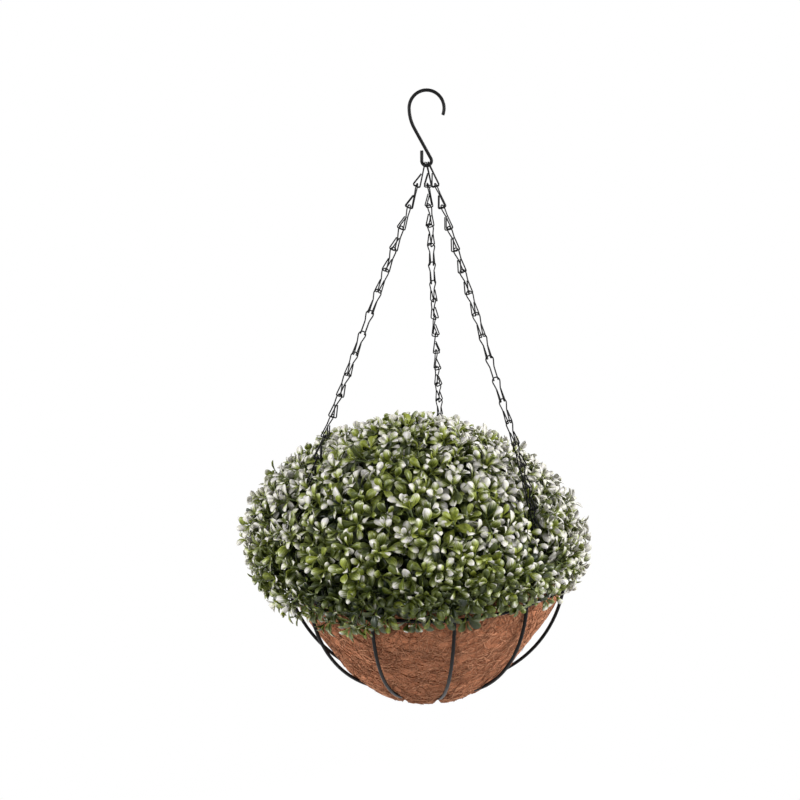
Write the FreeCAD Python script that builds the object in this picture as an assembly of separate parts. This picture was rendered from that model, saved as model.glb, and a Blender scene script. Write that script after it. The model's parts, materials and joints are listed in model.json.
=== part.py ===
import FreeCAD, Part

import math
import os

from FreeCAD import Matrix, Vector

# Wire hanging basket with a coir liner, a ball of boxwood foliage, three chains and an S hook.
# Millimetres, +Z up. The origin is the point inside the crook that bears on the bracket or rail,
# so the whole part hangs below it. The hook lies in the X-Z plane and the front of the basket
# faces -Y. Azimuths are in degrees, counted from the front (-Y) towards +X.

# --- S hook: one round wire ---
HOOK_WIRE_D = 3.2
CROOK_R = 16.4              # centreline radius of the crook
CROOK_END_ANGLE = -22.5     # free end of the crook, from +X, negative is below the centre
CROOK_SIDE_R = 37.5         # slacker curve from the crook into the shank
CROOK_TO_BEND = 48.2        # from the crook's centre down to the lower bend's centre
BEND_R = 4.6                # centreline radius of the lower bend, which holds the chains
BEND_LEG = 9.6              # straight free leg above the lower bend

# --- chain link: one wire bent into a U whose two legs each end in a hook ---
LINK_WIRE_D = 1.3
LINK_TOP_R = 4.15           # centreline radius of the U's round top
LINK_LEG_Y = 2.0            # half the distance between the two legs at their hooks
LINK_NECK_DROP = 11.0       # where the legs have come together, below the top
LINK_HOOK_W = 7.1           # centreline width of a hook
LINK_HOOK_RISE = 12.0       # slope of a hook's lower edge, in degrees
LINK_TIP_H = 13.0           # free end of a hook, above its lower edge
LINK_CORNER_CUT = 1.3       # length taken off a hook's two corners
LINK_PITCH = 21.4           # from one link to the next under load
LINK_SEAT = 0.15            # clearance between wires that bear on each other
LINK_TURN_ROOM = 0.2        # more room at that seat, because links sit turned on each other
LINK_SIDE_GAP = 0.3         # clearance between the three chains in the lower bend
HOOK_SEAT = 0.4             # clearance between the top links and the hook they hang in

# --- chain runs: straight from the hook to the foliage, and on to the rim ---
CHAIN_ANGLE = {"right": 52.5, "left": -67.5, "rear": 172.5}     # azimuths
UPPER_LINKS = 14
LOWER_LINKS = 6
KINK_R = 114.0              # distance from the axis where the foliage turns the chain
TOP_FLARE_ANGLE = -90.0     # azimuth that the hooks of the first links open towards
UPPER_TWIST_ANGLE = {"right": 130.0, "left": 170.0, "rear": 255.0}
FULL_TWIST_ANGLE = {"right": 142.5, "left": 202.5, "rear": 262.5}

# --- wire basket ---
FRAME_WIRE_D = 3.4
RIM_R = 150.0               # centreline radius of the rim
RIB_COUNT = 12
RIB_START_ANGLE = 10.0      # azimuth of the first rib
RIB_ARC_R = 180.0
RIB_TOP_H = 1.7             # cut end of a rib above the rim's middle
BASKET_DEPTH = 138.0        # from the rim's middle down to the ribs' lower ends
RIB_END_R = 34.0            # distance of the ribs' lower ends from the axis
BASE_RING_R = 42.0
WELD_GAP = 0.1              # between wires that are welded at a point

# --- coir liner ---
LINER_T = 8.0
LINER_TOP_H = 16.0          # top edge above the rim's middle
LINER_COLLAR_LEAN = 5.5     # how far the top edge leans inwards
LINER_ARC_R = 235.0
LINER_GAP = 0.3             # between the liner and the wires that hold it

# --- planting: foam block and boxwood foliage ---
CORE_GAP = 0.3              # between the block and the liner
CORE_SHOULDER_H = 12.0      # where the block's dome starts, above the rim's middle
CORE_TOP_H = 92.0
FOLIAGE_R = 174.0
FOLIAGE_TOP_H = 158.0
FOLIAGE_MID_H = 34.0        # height of the widest part above the rim's middle
FOLIAGE_HEM_H = 8.0         # lowest leaves outside the rim, above the rim's middle
FOLIAGE_SHIFT_X = -11.0     # the ball of leaves is fuller on one side
FOLIAGE_GAP = 0.3           # between the foliage and what it rests on
FOLIAGE_RIM_GAP = 2.0       # between the rim and the leaves that hang outside it
GROOVE_HALF_W = 8.5         # groove that each chain presses into the foliage
GROOVE_DEPTH = 10.0         # bottom of the groove, inwards of the chain

# --- facets: round wires and round solids have flat sides, and the runs of a bent wire touch
# its true curve ---
HOOK_SIDES = 12
CROOK_STEPS = 16
CROOK_SIDE_STEPS = 3
BEND_STEPS = 12
LINK_SIDES = 4
LINK_TOP_STEPS = 4
FRAME_SIDES = 6
RIM_STEPS = 72
RIB_STEPS = 8
BASE_RING_STEPS = 24
BOWL_SIDES = 36             # of the liner and what fits in it, a multiple of the ribs
LINER_STEPS = 4
CORE_STEPS = 4
FOLIAGE_SIDES = 24
FOLIAGE_STEPS = 7

# --- derived places ---
CROOK_Z = -(CROOK_R - HOOK_WIRE_D / 2)
BEND_Z = CROOK_Z - CROOK_TO_BEND
LINK_LIMIT_R = LINK_TOP_R - LINK_WIRE_D - LINK_SEAT - LINK_TURN_ROOM
LINK_NEST = LINK_TOP_R - math.sqrt(LINK_LIMIT_R ** 2 - LINK_LEG_Y ** 2)
LINK_LENGTH = LINK_PITCH + LINK_NEST
TOP_SEAT_R = BEND_R - (HOOK_WIRE_D + LINK_WIRE_D) / 2 - HOOK_SEAT
TOP_FAN = 2 * math.degrees(math.asin((LINK_WIRE_D + LINK_SIDE_GAP) / (2 * TOP_SEAT_R)))
TOP_FAN_SIDE = {"right": 1, "left": -1, "rear": 0}


def radial(azimuth, radius=1.0, z=0.0):
    """Point at a distance from the Z axis, by azimuth from the front."""
    angle = math.radians(azimuth)
    return Vector(radius * math.sin(angle), -radius * math.cos(angle), z)


def first_apex(side):
    """Top of a chain's first link, on the inside of the hook's lower bend."""
    angle = math.radians(TOP_FAN * TOP_FAN_SIDE[side])
    return Vector(TOP_SEAT_R * math.sin(angle), 0, BEND_Z - TOP_SEAT_R * math.cos(angle))


def kink_point(side):
    """Where the foliage turns a chain: a whole number of links below the hook."""
    apex = first_apex(side)
    flat = radial(CHAIN_ANGLE[side], KINK_R, apex.z)
    drop = math.sqrt((UPPER_LINKS * LINK_PITCH) ** 2 - (flat - apex).Length ** 2)
    return Vector(flat.x, flat.y, apex.z - drop)


LAST_REACH = LOWER_LINKS * LINK_PITCH + LINK_NEST - (
    LINK_WIRE_D + FRAME_WIRE_D) / 2 - LINK_SEAT
RIM_Z = kink_point("rear").z - math.sqrt(LAST_REACH ** 2 - (RIM_R - KINK_R) ** 2)
RIB_TOP_R = RIM_R - FRAME_WIRE_D - WELD_GAP


def mitred_bar(points, width, sides, normal, closed=False):
    """Bar of a regular section swept along straight runs, with a mitre at each turn."""
    count = len(points)
    last = count if closed else count - 1
    runs = [(points[(i + 1) % count] - points[i]).normalize() for i in range(last)]
    side = (normal - runs[0] * normal.dot(runs[0])).normalize()
    rings = []
    for i in range(count):
        before = runs[i - 1] if i or closed else runs[0]
        after = runs[i] if i < last else runs[-1]
        if i == 0 and closed:
            side = turned(side, after, before)
        mitre = (before + after).normalize()
        across = before.cross(side)
        ring = []
        for k in range(sides):
            angle = 2 * math.pi * (k + 0.5) / sides
            arm = (side * math.cos(angle) + across * math.sin(angle)) * width
            ring.append(points[i] + arm - before * (arm.dot(mitre) / before.dot(mitre)))
        rings.append(ring)
        side = turned(side, before, after)
    return solid_from_rings(rings, closed)


def turned(vector, before, after):
    """The vector carried round the smallest turn from one direction to the next."""
    axis = before.cross(after)
    if axis.Length < 1e-9:
        return vector
    return FreeCAD.Rotation(before, after).multVec(vector)


def solid_from_rings(rings, closed=False):
    """Solid whose skin joins each ring of points to the next."""
    faces = []
    count = len(rings)
    for i in range(count if closed else count - 1):
        a, b = rings[i], rings[(i + 1) % count]
        for k in range(len(a)):
            m = (k + 1) % len(a)
            faces.append(flat_face([a[k], a[m], b[m], b[k]]))
    if not closed:
        faces.append(flat_face(rings[0]))
        faces.append(flat_face(rings[-1]))
    solid = Part.makeSolid(Part.makeShell(faces))
    if solid.Volume < 0:
        solid.reverse()
    return solid


def flat_face(points):
    return Part.Face(Part.makePolygon(points + [points[0]]))


def corner_cut(before, corner, after, cut):
    """Two points that take a corner off a path."""
    to_before = (before - corner).normalize()
    to_after = (after - corner).normalize()
    return [corner + to_before * cut, corner + to_after * cut]


def touching_corners(radius, first, last, steps):
    """Corners of the equal straight runs that touch an arc, from its first angle to its last."""
    turn = (last - first) / steps
    corner_r = radius / math.cos(turn / 2)
    angles = [first + turn * (i + 0.5) for i in range(steps)]
    return [(corner_r * math.cos(a), corner_r * math.sin(a)) for a in angles]


def s_hook():
    """Round wire: crook, slacker side curve, straight shank, tight lower bend, free leg."""
    side_x = CROOK_SIDE_R - CROOK_R
    reach = math.hypot(side_x, CROOK_TO_BEND)
    lean = math.atan2(CROOK_TO_BEND, side_x) - math.acos((CROOK_SIDE_R + BEND_R) / reach)
    end = math.radians(CROOK_END_ANGLE)
    crook = touching_corners(CROOK_R, end, math.pi, CROOK_STEPS)
    side = touching_corners(CROOK_SIDE_R, math.pi, math.pi + lean, CROOK_SIDE_STEPS)
    bend = touching_corners(BEND_R, lean, -math.pi, BEND_STEPS)
    path = [Vector(CROOK_R * math.cos(end), 0, CROOK_Z + CROOK_R * math.sin(end))]
    path += [Vector(x, 0, CROOK_Z + z) for x, z in crook]
    path += [Vector(side_x + x, 0, CROOK_Z + z) for x, z in side]
    path += [Vector(x, 0, BEND_Z + z) for x, z in bend]
    path.append(Vector(-BEND_R, 0, BEND_Z + BEND_LEG))
    return mitred_bar(path, HOOK_WIRE_D / 2, HOOK_SIDES, Vector(0, 1, 0))


def chain_link():
    """One link with its top at the origin and its load along -Z; its hooks open towards +X."""
    rise = math.tan(math.radians(LINK_HOOK_RISE))
    mid_x = LINK_HOOK_W / 2
    lean = math.asin(mid_x / LINK_LENGTH)
    foot_z = -LINK_LENGTH * math.cos(lean) - mid_x * rise

    def leg(sign):
        y = sign * LINK_LEG_Y
        neck = Vector(0, y, -LINK_NECK_DROP)
        shank_foot = Vector(0, y, foot_z)
        flare_foot = Vector(LINK_HOOK_W, y, foot_z + LINK_HOOK_W * rise)
        tip = Vector(LINK_WIRE_D + LINK_SEAT, y, foot_z + LINK_TIP_H)
        return ([tip] + corner_cut(tip, flare_foot, shank_foot, LINK_CORNER_CUT)
                + corner_cut(flare_foot, shank_foot, neck, LINK_CORNER_CUT) + [neck])

    top = touching_corners(LINK_TOP_R, 0, math.pi, LINK_TOP_STEPS)
    path = leg(1) + [Vector(0, y, z - LINK_TOP_R) for y, z in top] + list(reversed(leg(-1)))
    link = mitred_bar(path, LINK_WIRE_D / 2, LINK_SIDES, Vector(0, 1, 0))
    link.rotate(Vector(0, 0, 0), Vector(0, 1, 0), math.degrees(lean))
    return link


def place_link(link, apex, down, flare_azimuth):
    """Copy of the link with its top at the apex, its load along down, its hooks by azimuth."""
    z_axis = down * -1
    flare = radial(flare_azimuth)
    x_axis = (flare - z_axis * flare.dot(z_axis)).normalize()
    y_axis = z_axis.cross(x_axis)
    copy = link.copy()
    copy.Placement = FreeCAD.Placement(Matrix(
        x_axis.x, y_axis.x, z_axis.x, apex.x,
        x_axis.y, y_axis.y, z_axis.y, apex.y,
        x_axis.z, y_axis.z, z_axis.z, apex.z,
        0, 0, 0, 1)).multiply(copy.Placement)
    return copy


def chain_run(link, start, down, count, flare, turn):
    """Straight run of links; each is turned on the one above it by the same angle."""
    links = []
    for i in range(count):
        apex = start + down * (LINK_PITCH * i)
        links.append(place_link(link, apex, down, flare + turn * i))
    return links


def chain(link, side):
    """The three nodes of one chain: its link in the S hook, its upper run, its lower run."""
    start = first_apex(side)
    kink = kink_point(side)
    rim = radial(CHAIN_ANGLE[side], RIM_R, RIM_Z)
    upper_turn = UPPER_TWIST_ANGLE[side] / (UPPER_LINKS - 1)
    lower_turn = (FULL_TWIST_ANGLE[side] - UPPER_TWIST_ANGLE[side]) / LOWER_LINKS
    upper = chain_run(link, start, (kink - start).normalize(), UPPER_LINKS, TOP_FLARE_ANGLE, upper_turn)
    lower = chain_run(link, kink, (rim - kink).normalize(), LOWER_LINKS,
                      TOP_FLARE_ANGLE + UPPER_TWIST_ANGLE[side] + lower_turn, lower_turn)
    return {
        "chain_%s_top_link" % side: upper[0],
        "chain_%s_upper_run" % side: Part.makeCompound(upper[1:]),
        "chain_%s_lower_run" % side: Part.makeCompound(lower),
    }


def arc_points(start, end, radius, steps):
    """Points on the arc from start to end (x, z pairs) that bulges away from the axis."""
    mid_x, mid_z = (start[0] + end[0]) / 2, (start[1] + end[1]) / 2
    dx, dz = end[0] - start[0], end[1] - start[1]
    chord = math.hypot(dx, dz)
    back = math.sqrt(radius ** 2 - (chord / 2) ** 2) / chord
    cx, cz = mid_x + dz * back, mid_z - dx * back
    first = math.atan2(start[1] - cz, start[0] - cx)
    last = math.atan2(end[1] - cz, end[0] - cx)
    angles = [first + (last - first) * i / steps for i in range(steps + 1)]
    return [(cx + radius * math.cos(a), cz + radius * math.sin(a)) for a in angles]


def ring_bar(radius, z, width, sides, steps):
    """Closed ring of wire about the Z axis, with a corner of its path at the first rib."""
    points = [radial(RIB_START_ANGLE + 360.0 * i / steps, radius, z) for i in range(steps)]
    return mitred_bar(points, width, sides, Vector(0, 0, 1), closed=True)


def rib(azimuth):
    """Bowed wire from the inside of the rim down to the base ring."""
    bow = arc_points((RIB_TOP_R, RIM_Z), (RIB_END_R, RIM_Z - BASKET_DEPTH), RIB_ARC_R, RIB_STEPS)
    points = [radial(azimuth, r, z) for r, z in [(RIB_TOP_R, RIM_Z + RIB_TOP_H)] + bow]
    return mitred_bar(points, FRAME_WIRE_D / 2, FRAME_SIDES, radial(azimuth + 90))


def rib_point(radius, outwards):
    """Point at a radius on the ribs' lower curve, moved out of the basket along its normal."""
    bow = arc_points((RIB_TOP_R, RIM_Z), (RIB_END_R, RIM_Z - BASKET_DEPTH), RIB_ARC_R, RIB_STEPS)
    for (r1, z1), (r2, z2) in zip(bow, bow[1:]):
        if r2 <= radius <= r1:
            length = math.hypot(r1 - r2, z1 - z2)
            z = z2 + (z1 - z2) * (radius - r2) / (r1 - r2)
            return radius + (z1 - z2) / length * outwards, z - (r1 - r2) / length * outwards
    raise ValueError("no rib at this radius")


def base_ring():
    """Small ring under the ribs' lower ends."""
    r, z = rib_point(BASE_RING_R, FRAME_WIRE_D + WELD_GAP)
    return ring_bar(r, z, FRAME_WIRE_D / 2, FRAME_SIDES, BASE_RING_STEPS)


def bowl_solid(profile):
    """Solid round Z with BOWL_SIDES flat sides, from a closed profile of (radius, z) points."""
    faces = []
    for (r1, z1), (r2, z2) in zip(profile, profile[1:] + profile[:1]):
        for k in range(BOWL_SIDES):
            a = RIB_START_ANGLE + 360.0 * k / BOWL_SIDES
            b = a + 360.0 / BOWL_SIDES
            corners = [radial(a, r1, z1)]
            if r1 > 0:
                corners.append(radial(b, r1, z1))
            if r2 > 0:
                corners.append(radial(b, r2, z2))
            if r1 > 0 or r2 > 0:
                faces.append(flat_face(corners + [radial(a, r2, z2)]))
    solid = Part.makeSolid(Part.makeShell(faces))
    if solid.Volume < 0:
        solid.reverse()
    return solid


def liner_profile(inset):
    """Outer curve of the liner, from its top edge to its base, moved inwards."""
    top_r = RIB_TOP_R - FRAME_WIRE_D / 2 - LINER_GAP - inset
    seat_r, seat_z = rib_point(BASE_RING_R, -(FRAME_WIRE_D / 2 + LINER_GAP + inset))
    curve = arc_points((top_r, RIM_Z), (seat_r, seat_z), LINER_ARC_R - inset, LINER_STEPS)
    edge = (top_r - LINER_COLLAR_LEAN, RIM_Z + LINER_TOP_H)
    return [edge] + curve + [(0, seat_z)]


def coir_liner():
    """Open bowl of coir that stands inside the ribs."""
    outer = liner_profile(0)
    inner = liner_profile(LINER_T)
    return bowl_solid(outer + list(reversed(inner)))


def core_profile(grow):
    """The foam block: it fills the liner up to its shoulder and ends in a low dome."""
    shoulder_z = RIM_Z + CORE_SHOULDER_H + grow
    inside = liner_profile(LINER_T + CORE_GAP)[1:]
    shoulder_r = inside[0][0] - LINER_COLLAR_LEAN + grow
    dome = []
    for i in range(CORE_STEPS + 1):
        angle = math.pi / 2 * i / CORE_STEPS
        height = CORE_TOP_H - CORE_SHOULDER_H
        dome.append((shoulder_r * math.sin(angle), shoulder_z + height * math.cos(angle)))
    return dome + inside


def foam_core():
    return bowl_solid(core_profile(0))


def foliage_ball():
    """Faceted ball of leaves from its hem to its crown, on an axis beside the basket's own."""
    rings = []
    hem = math.asin((FOLIAGE_MID_H - FOLIAGE_HEM_H) / (FOLIAGE_TOP_H - FOLIAGE_MID_H))
    for i in range(FOLIAGE_STEPS):
        angle = -hem + (math.pi / 2 + hem) * i / FOLIAGE_STEPS
        z = RIM_Z + FOLIAGE_MID_H + (FOLIAGE_TOP_H - FOLIAGE_MID_H) * math.sin(angle)
        ring = []
        for k in range(FOLIAGE_SIDES):
            point = radial(360.0 * k / FOLIAGE_SIDES, FOLIAGE_R * math.cos(angle), z)
            ring.append(point + Vector(FOLIAGE_SHIFT_X, 0, 0))
        rings.append(ring)
    crown = Vector(FOLIAGE_SHIFT_X, 0, RIM_Z + FOLIAGE_TOP_H)
    faces = [flat_face(list(reversed(rings[0])))]
    for a, b in zip(rings, rings[1:]):
        for k in range(FOLIAGE_SIDES):
            m = (k + 1) % FOLIAGE_SIDES
            faces.append(flat_face([a[k], a[m], b[m], b[k]]))
    for k in range(FOLIAGE_SIDES):
        faces.append(flat_face([rings[-1][k], rings[-1][(k + 1) % FOLIAGE_SIDES], crown]))
    return Part.makeSolid(Part.makeShell(faces))


def chain_groove(side):
    """Slot from a chain outwards, cut down through the foliage."""
    reach = FOLIAGE_R + abs(FOLIAGE_SHIFT_X)
    top = first_apex(side)
    kink = kink_point(side)
    slope = (KINK_R - math.hypot(top.x, top.y)) / (top.z - kink.z)
    crown_z = RIM_Z + FOLIAGE_TOP_H + GROOVE_DEPTH
    hem_z = RIM_Z - GROOVE_DEPTH
    outline = [
        (KINK_R - GROOVE_DEPTH - (crown_z - kink.z) * slope, crown_z),
        (KINK_R - GROOVE_DEPTH, kink.z),
        (RIM_R - GROOVE_DEPTH, RIM_Z),
        (RIM_R - GROOVE_DEPTH, hem_z),
        (reach, hem_z),
        (reach, crown_z),
    ]
    azimuth = CHAIN_ANGLE[side]
    across = radial(azimuth + 90)
    face = flat_face([radial(azimuth, r, z) - across * GROOVE_HALF_W for r, z in outline])
    return face.extrude(across * (2 * GROOVE_HALF_W))


def foliage():
    """The ball of leaves, open underneath for the rim, the liner and the foam block."""
    well_r = RIM_R + FRAME_WIRE_D / 2 + FOLIAGE_RIM_GAP
    well_foot = RIM_Z - FOLIAGE_RIM_GAP
    well_top = RIM_Z + LINER_TOP_H + FOLIAGE_GAP
    well = bowl_solid([(0, well_top), (well_r, well_top), (well_r, well_foot), (0, well_foot)])
    body = foliage_ball().cut(well)
    body = body.cut(bowl_solid(core_profile(FOLIAGE_GAP)))
    for side in CHAIN_ANGLE:
        body = body.cut(chain_groove(side))
    return body


def build_nodes():
    link = chain_link()
    nodes = {"s_hook": s_hook()}
    for side in CHAIN_ANGLE:
        nodes.update(chain(link, side))
    nodes["rim_ring"] = ring_bar(RIM_R, RIM_Z, FRAME_WIRE_D / 2, FRAME_SIDES, RIM_STEPS)
    for i in range(RIB_COUNT):
        nodes["rib_%02d" % (i + 1)] = rib(RIB_START_ANGLE + 360.0 * i / RIB_COUNT)
    nodes["base_ring"] = base_ring()
    nodes["coir_liner"] = coir_liner()
    nodes["foam_core"] = foam_core()
    nodes["foliage"] = foliage()
    return nodes


os.makedirs("parts", exist_ok=True)
for name, shape in build_nodes().items():
    if not shape.isValid():
        raise RuntimeError("invalid shape: " + name)
    shape.exportStep("parts/%s.step" % name)
    print("%-20s solids %2d  volume %10.1f" % (name, len(shape.Solids), shape.Volume))
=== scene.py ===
import json
import math
import random

import bpy
import numpy as np
from mathutils import Matrix, Vector


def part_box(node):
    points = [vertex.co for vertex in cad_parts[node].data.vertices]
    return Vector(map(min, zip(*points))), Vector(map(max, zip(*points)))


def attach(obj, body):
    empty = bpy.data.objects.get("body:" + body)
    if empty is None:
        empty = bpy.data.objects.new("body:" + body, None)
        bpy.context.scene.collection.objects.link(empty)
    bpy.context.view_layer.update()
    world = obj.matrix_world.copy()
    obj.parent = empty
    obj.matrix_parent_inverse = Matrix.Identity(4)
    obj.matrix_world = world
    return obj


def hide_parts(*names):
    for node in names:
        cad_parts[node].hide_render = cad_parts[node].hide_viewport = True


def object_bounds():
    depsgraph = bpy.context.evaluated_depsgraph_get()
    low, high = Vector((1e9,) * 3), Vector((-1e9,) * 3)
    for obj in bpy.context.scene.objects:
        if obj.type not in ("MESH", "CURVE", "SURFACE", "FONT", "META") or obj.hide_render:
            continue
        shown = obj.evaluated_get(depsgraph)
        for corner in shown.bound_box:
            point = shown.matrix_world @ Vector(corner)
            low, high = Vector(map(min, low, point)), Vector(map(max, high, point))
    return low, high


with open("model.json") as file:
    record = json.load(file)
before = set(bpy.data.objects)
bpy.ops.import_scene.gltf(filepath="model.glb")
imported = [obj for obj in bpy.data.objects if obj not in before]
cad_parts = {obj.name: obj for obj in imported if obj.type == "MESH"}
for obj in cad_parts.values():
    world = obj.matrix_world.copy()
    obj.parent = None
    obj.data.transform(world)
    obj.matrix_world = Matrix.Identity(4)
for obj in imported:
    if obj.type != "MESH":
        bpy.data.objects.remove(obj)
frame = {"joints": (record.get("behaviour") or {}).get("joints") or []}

# Wire hanging basket with a coir liner, a ball of moulded boxwood sprigs, three link chains and
# an S hook. Metres, in the row frame: the crook hangs at the origin and the front faces -Y.
CAD_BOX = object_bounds()
random.seed(7)

# --- measures taken from the frame ---
JOINTS = {joint["name"]: joint for joint in frame["joints"]}
RIM_LOW, RIM_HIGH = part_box("rim_ring")
RIM_Z = (RIM_LOW.z + RIM_HIGH.z) / 2

# --- S hook; radii of bends are of the wire's centreline ---
HOOK_WIRE_R = 0.0016
CROOK_R = 0.0164
CROOK_END = math.radians(-22.5)
CROOK_SIDE_R = 0.0375
CROOK_Z = HOOK_WIRE_R - CROOK_R
CROOK_TO_BEND = 0.0482
BEND_R = 0.0046
BEND_LEG = 0.0096
HOOK_FACETS = {"sides": 20, "step": 0.09}

# --- wire basket ---
FRAME_WIRE_R = 0.0017
FRAME_SIDES = 14
RIM_R = RIM_HIGH.y - FRAME_WIRE_R
RIB_TOP_R = RIM_R - 2 * FRAME_WIRE_R - 0.0001
RIB_TOP_H = 0.0017              # cut end above the rim's middle
RIB_ARC_R = 0.150
RIB_END_R = 0.034
RIB_START = math.radians(10)
RIB_COUNT = 12
RIB_FACETS = {"sides": FRAME_SIDES, "step": 0.05}
BASE_RING_R = 0.042
RING_STEPS = 144
BASKET_DEPTH = 0.138
RIM_WELD = (0.0017, 0.0011, 0.0014)     # half sizes of the beads
BASE_WELD = (0.0017, 0.0014, 0.0011)
BUTT_WELD = (0.0012, FRAME_WIRE_R * 1.08, FRAME_WIRE_R * 1.08)
BUTT_WELD_AZIMUTH = 178

# --- chains; azimuths and twists are in degrees ---
LINK_WIRE_R = 0.00065
LINK_TOP_R = 0.00415
LINK_LEG_Y = 0.0020             # half the distance between the two legs
LINK_NECK_DROP = 0.0110
LINK_HOOK_W = 0.0071
LINK_HOOK_RISE = math.tan(math.radians(12))
LINK_TIP_H = 0.0130
LINK_BEND_R = 0.0012
LINK_PITCH = 0.0214
LINK_LENGTH = 0.0240
LINK_FACETS = {"sides": 8, "step": 0.35}
UPPER_RUN = 13
LOWER_RUN = 6
TOP_FLARE = -90.0
UPPER_TWIST = {"right": 130.0, "left": 170.0, "rear": 255.0}
FULL_TWIST = {"right": 142.5, "left": 202.5, "rear": 262.5}
CHAIN_AZIMUTH = {"right": 52.5, "left": -67.5, "rear": 172.5}

# --- coir liner; waves are (height, size, seed) ---
LINER_T = 0.0078
LINER_TOP_H = 0.0160
LINER_LEAN = 0.0055
LINER_GAP = 0.0003
LINER_SLACK = 0.0070            # how far the wall falls behind the ribs at mid-height
LINER_STEPS = 240
COLLAR_STEPS = 5
WALL_STEPS = 18
BELLY_STEPS = 8
BELLY_R = 0.082                 # where the wall ends and the belly below the ribs starts
BELLY_FLAT_R = 0.046
BELLY_FLAT_DROP = 0.0014
SKIN_LUMPS = ((0.00035, 0.018, 3), (0.00035, 0.006, 4))
SKIN_SET_BACK = 0.0005
EDGE_WAVES = ((0.0012, 0.03, 5), (0.0008, 0.009, 6))
EDGE_SET_DOWN = 0.0010
RIB_DENT_W = 0.0034
RIB_DENT_DEPTH = 0.006
RIB_DENT_ROOM = 0.0006
STRANDS = 7200
STRAND_R = 0.00040
STRAND_RUNS = 4
STRAND_LENGTH = (0.007, 0.024)
STRAND_THICKNESS = (0.6, 1.3)
STRAND_LIFT = (-0.0006, 0.0003)
STRAY_SHARE = 0.08
STRAY_RISE = 0.005

# --- foam block; heights here and below are above the rim's middle ---
CORE_GAP = 0.0012
CORE_SHOULDER_H = 0.012
CORE_TOP_H = 0.092
CORE_DOME_R = 0.137
CORE_STEPS = 12

# --- ball of leaves ---
BALL_R = 0.1712
BALL_TOP_H = 0.147
BALL_MID_H = 0.034
BALL_TAPER = 1.34
BALL_SHIFT = Vector((-0.015, 0, 0))
HOLLOW_SHARE = {"right": 1.0, "left": 0.2, "rear": 0.6}
HOLLOW_FRONT_W = 0.036          # the leaves fall back further on a chain's front side
HOLLOW_REAR_W = 0.010
HOLLOW_MARGIN = 0.004
SPRIG_SPACING = 0.0198
SPRIG_INSET = 0.0085
SPRIG_LEAN = 0.38
SPRIG_MOST_LEAN = 0.75
SPRIG_SUNK = 0.004              # how far a stem reaches into the foam block
SPRIG_MOST_REACH = 0.07
SPRIG_FOOT_H = 0.020
PROBE_STEP = 0.002
PROBE_STEPS = 45
# pairs of leaves down a sprig: distance from the pair above, tilt in degrees, size
SPRIG_PAIRS = ((0.0, 34, 0.66), (0.0016, 52, 0.84), (0.0062, 62, 1.0), (0.0064, 70, 1.08),
               (0.0066, 76, 1.08), (0.0066, 80, 1.02), (0.0070, 80, 0.95))
HEM_SPACING = 0.0118
HEM_ROWS = ((0.032, 0.165, 0.036), (0.019, 0.165, 0.028), (0.007, 0.161, 0.022))
HEM_FOOT_R = 0.128
HEM_DROPS = ((-42, 34, 0.010), (20, 24, -0.008), (84, 26, 0.004))
CHAIN_ROOM_ABOVE = 0.0075       # kept free of leaves round a chain, above and in the ball
CHAIN_ROOM_IN_BALL = 0.0042

# --- leaf ---
LEAF_LENGTH = 0.0180
LEAF_HALF_W = 0.0042
LEAF_T = 0.00045
LEAF_STATIONS = ((0.0, 0.14), (0.26, 0.22), (0.47, 0.66), (0.68, 0.98), (0.86, 0.96),
                 (0.96, 0.66), (1.0, 0.30))     # (share of length, share of width)
LEAF_CUP = 0.36
LEAF_ARCH = 0.0010
LEAF_CURL = 0.0022
LEAF_PIECES = 4

# --- stage ---
FLOOR_DROP = 1.0
AMBIENT = 0.24
CAMERA_DISTANCE = 1.05
CAMERA_ELEVATION = math.radians(13.75)
CAMERA_AIM_H = 0.1783
# name, place, size, power
LAMPS = (
    ("key_lamp", (-0.8, -1.9, 0.2), 0.9, 16),
    ("rear_lamp", (0.4, 1.9, 0.3), 0.9, 16),
    ("right_lamp", (1.9, -0.4, 0.3), 0.9, 64),
    ("left_lamp", (-1.9, -0.4, 0.2), 0.9, 42),
    ("top_lamp", (0.1, 0.3, 1.6), 1.0, 2),
)


# ---------------------------------------------------------------- making shapes

def deselect():
    bpy.ops.object.select_all(action="DESELECT")


def choose(piece):
    deselect()
    piece.select_set(True)
    bpy.context.view_layer.objects.active = piece


def apply_transform():
    bpy.ops.object.transform_apply(location=True, rotation=True, scale=True)


def start_skin(name, scale=(1, 1, 1), **circle):
    """Circle of edges to draw a skin from, in edit mode and selected."""
    deselect()
    bpy.ops.mesh.primitive_circle_add(**circle)
    skin = bpy.context.object
    skin.name = name
    skin.scale = scale
    apply_transform()
    bpy.ops.object.mode_set(mode="EDIT")
    bpy.ops.mesh.select_all(action="SELECT")
    return skin


def draw_on(value):
    bpy.ops.mesh.extrude_region_move(TRANSFORM_OT_translate={"value": value})


def leave_skin(ends=None):
    """Closes ends of so many sides, turns the faces outwards and leaves edit mode."""
    bpy.ops.mesh.select_all(action="SELECT")
    if ends:
        bpy.ops.mesh.fill_holes(sides=ends)
    bpy.ops.mesh.normals_make_consistent(inside=False)
    bpy.ops.object.mode_set(mode="OBJECT")


def radial(azimuth, radius=1.0, z=0.0):
    """Point at a distance from the Z axis, by azimuth in degrees from the front."""
    angle = math.radians(azimuth)
    return Vector((radius * math.sin(angle), -radius * math.cos(angle), z))


def arc_corners(centre, radius, first, last, count):
    """Corners (x, z) of equal straight runs that touch an arc, each with the arc's radius."""
    turn = (last - first) / count
    reach = radius / math.cos(turn / 2)
    angles = [first + turn * (i + 0.5) for i in range(count)]
    return [((centre[0] + reach * math.cos(a), centre[1] + reach * math.sin(a)), radius)
            for a in angles]


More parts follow.
